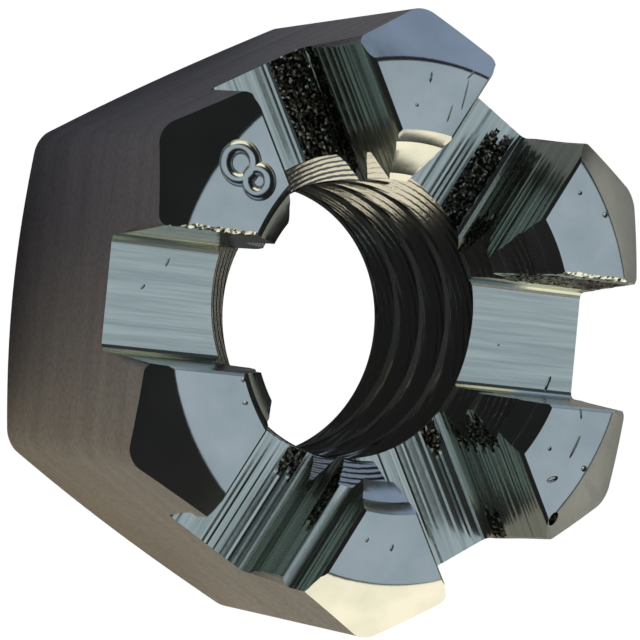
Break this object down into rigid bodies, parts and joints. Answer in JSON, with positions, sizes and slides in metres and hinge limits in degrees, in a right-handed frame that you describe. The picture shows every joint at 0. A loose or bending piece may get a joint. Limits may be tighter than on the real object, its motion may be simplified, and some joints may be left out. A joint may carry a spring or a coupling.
{
  "type": "castle nut",
  "caption": "Hexagon slotted nut: a threaded hexagon whose crown is cut by radial slots through the flats, so that a split pin can lock it on a drilled bolt.",
  "frame": {"origin": "centre of the bearing face, on the bore's axis", "axes": "+Z along the bore from the bearing face towards the slotted crown, +X through the middle of one slot and one flat of the hexagon"},
  "size_m": [0.013, 0.0148, 0.0084],
  "materials": {
    "zinc_plated_steel": "bright zinc plate over machined steel, with tool marks in the slots"
  },
  "bodies": {
    "root": {"castle_nut": "zinc_plated_steel"}
  },
  "joints": []
}
